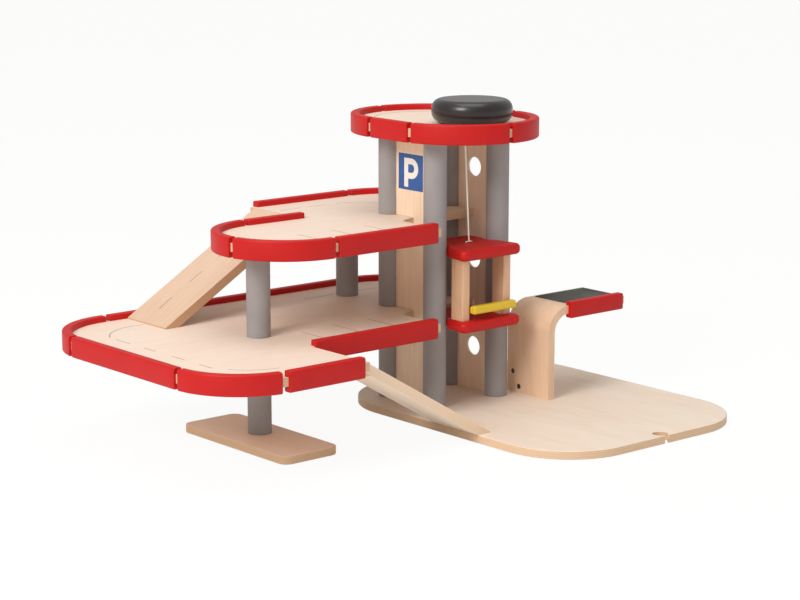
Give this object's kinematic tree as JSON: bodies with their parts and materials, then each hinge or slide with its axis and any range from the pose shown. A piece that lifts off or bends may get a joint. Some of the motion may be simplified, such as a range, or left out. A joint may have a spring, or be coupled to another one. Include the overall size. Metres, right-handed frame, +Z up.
{
  "type": "toy parking garage",
  "caption": "Wooden toy parking garage with stacked railed decks, sloping ramps, a cord lift wound by a knob on top, a barrier arm and a bent-wood bridge.",
  "frame": {"origin": "on the table, on the axis of the tower column beside the sign wall", "axes": "+X along the tower walls towards the open side of the base, +Y from the rounded end of the decks towards the bridge, +Z up"},
  "size_m": [0.508, 0.7, 0.385],
  "materials": {
    "pale_wood": "satin",
    "red_rail": "gloss",
    "grey_column": "satin",
    "yellow_arm": "satin",
    "dark_knob": "satin",
    "dark_mat": "matte",
    "steel_screw": "satin",
    "white_cord": "matte"
  },
  "bodies": {
    "garage": {"base_plate": "pale_wood", "bridge_block": "pale_wood", "bridge_board": "pale_wood", "bridge_mat": "dark_mat", "bridge_rail": "red_rail", "bridge_screws": "steel_screw", "column_a_lower": "grey_column", "column_a_middle": "grey_column", "column_a_upper": "grey_column", "column_b": "grey_column", "column_c_lower": "grey_column", "column_c_middle": "grey_column", "column_c_upper": "grey_column", "column_d": "grey_column", "cord_riser": "white_cord", "foot_column_lower": "grey_column", "foot_column_upper": "grey_column", "foot_plate": "pale_wood", "lower_batten": "pale_wood", "lower_deck": "pale_wood", "lower_rail_back": "red_rail", "lower_rail_corner_back": "red_rail", "lower_rail_corner_front": "red_rail", "lower_rail_corner_left": "red_rail", "lower_rail_front": "red_rail", "lower_rail_inner": "red_rail", "lower_rail_left": "red_rail", "lower_rail_right": "red_rail", "lower_ramp": "pale_wood", "middle_deck": "pale_wood", "middle_rail_back": "red_rail", "middle_rail_corner_back": "red_rail", "middle_rail_end_back": "red_rail", "middle_rail_end_front": "red_rail", "middle_rail_front": "red_rail", "middle_rail_inner": "red_rail", "middle_rail_right": "red_rail", "outer_column": "grey_column", "sign_wall": "pale_wood", "top_deck": "pale_wood", "top_rail_back": "red_rail", "top_rail_front": "red_rail", "top_rail_left_back": "red_rail", "top_rail_left_front": "red_rail", "top_rail_right_back": "red_rail", "top_rail_right_front": "red_rail", "upper_batten": "pale_wood", "upper_ramp": "pale_wood", "window_wall": "pale_wood"},
    "lift": {"lift_roof": "pale_wood", "lift_floor": "pale_wood", "lift_post_left": "pale_wood", "lift_post_right": "pale_wood", "cord_knot": "white_cord", "barrier_pin": "steel_screw", "lift_cord": "white_cord"},
    "barrier": {"barrier_arm": "yellow_arm"},
    "winch": {"winding_knob": "dark_knob", "winch_spindle": "pale_wood", "wound_cord": "white_cord"}
  },
  "joints": [
    {"name": "knob_turn", "type": "hinge", "parent": "garage", "child": "winch", "pos_m": [0.0925, 0.051, 0.35], "axis": [0, 0, 1], "range_deg": [-522.27, 429.72]},
    {"name": "lift_slide", "type": "slide", "parent": "garage", "child": "lift", "axis": [0, 0, 1], "range_m": [-0.0975, 0.1185], "deforming": ["lift_cord"]},
    {"name": "barrier_hinge", "type": "hinge", "parent": "lift", "child": "barrier", "pos_m": [0.1265, 0.08445, 0.1345], "axis": [-1, 0, 0], "range_deg": [0, 66]}
  ],
  "couplings": [
    {"joint": "lift_slide", "follows": "knob_turn", "m_per_rad": -0.013}
  ]
}
